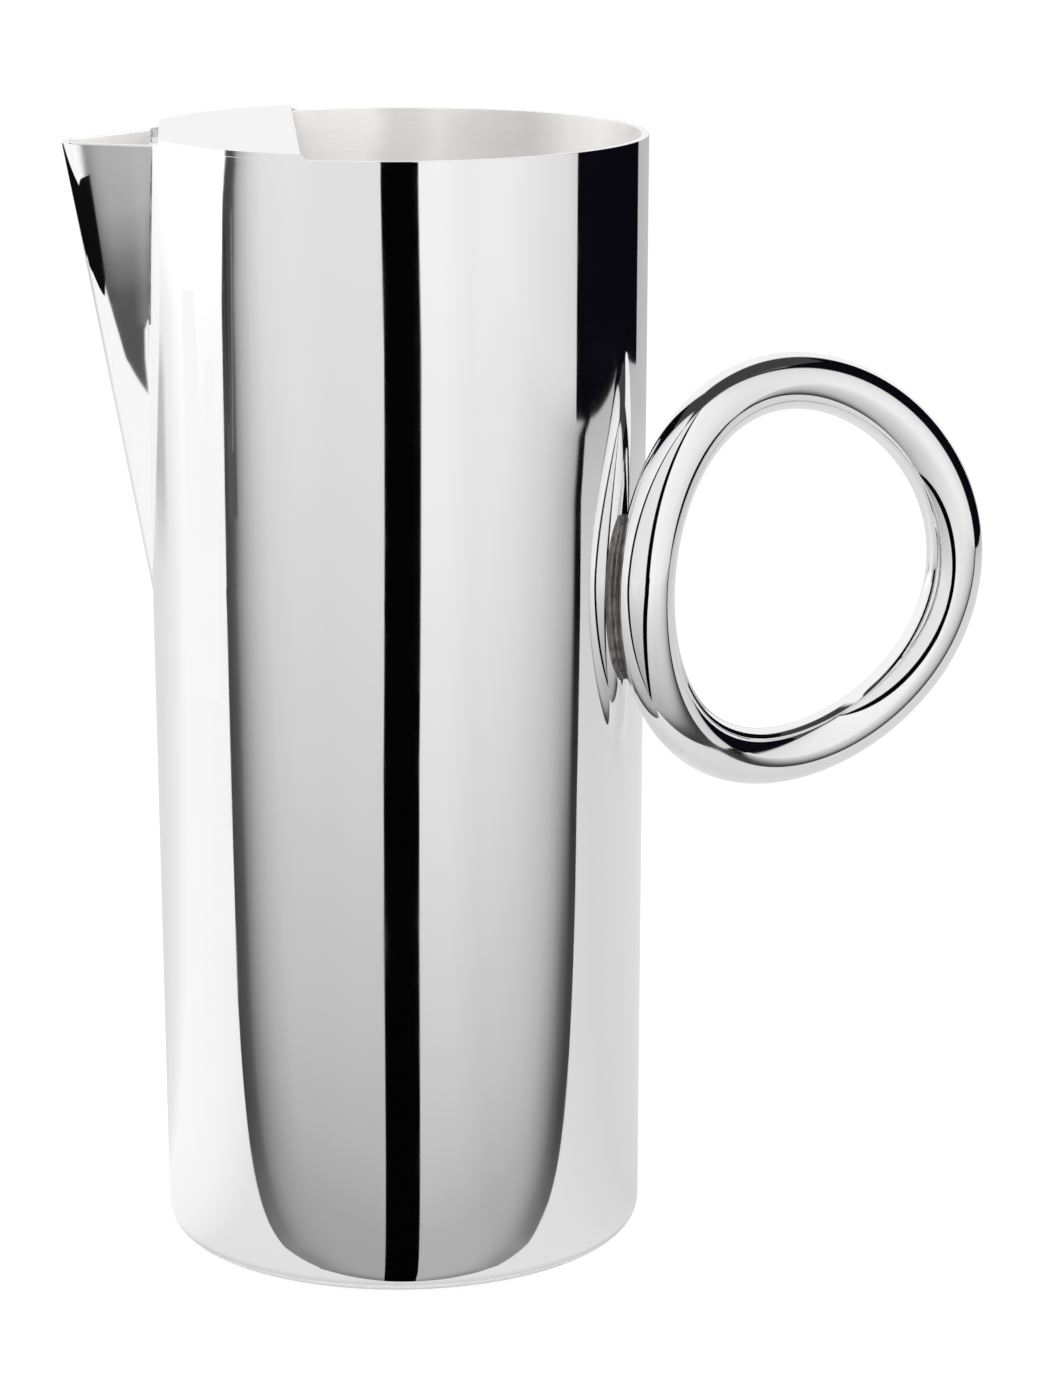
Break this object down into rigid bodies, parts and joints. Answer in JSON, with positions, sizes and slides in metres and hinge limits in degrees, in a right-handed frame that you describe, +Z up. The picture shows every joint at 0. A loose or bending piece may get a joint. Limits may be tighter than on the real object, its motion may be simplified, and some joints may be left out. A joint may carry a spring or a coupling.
{
  "type": "water pitcher",
  "caption": "Tall, slightly tapered metal pitcher with a folded V spout, a flat ice guard over part of the mouth and a twisted round ring handle brazed to its side.",
  "frame": {"origin": "centre of the flat base, on the surface the pitcher stands on", "axes": "+Z up along the cup's axis, -X towards the spout, the ring handle on the +X side"},
  "size_m": [0.1857, 0.1, 0.2256],
  "materials": {
    "silver_plate": "mirror-polished silver plate outside, satin brushed inside the cup and spout",
    "braze_filler": "brushed, unpolished silver solder"
  },
  "bodies": {
    "root": {"body_cup": "silver_plate", "spout": "silver_plate", "ice_guard": "silver_plate", "handle_ring": "silver_plate", "handle_braze": "braze_filler", "spout_braze_near": "braze_filler", "spout_braze_far": "braze_filler", "guard_braze_near": "braze_filler", "guard_braze_far": "braze_filler"}
  },
  "joints": []
}
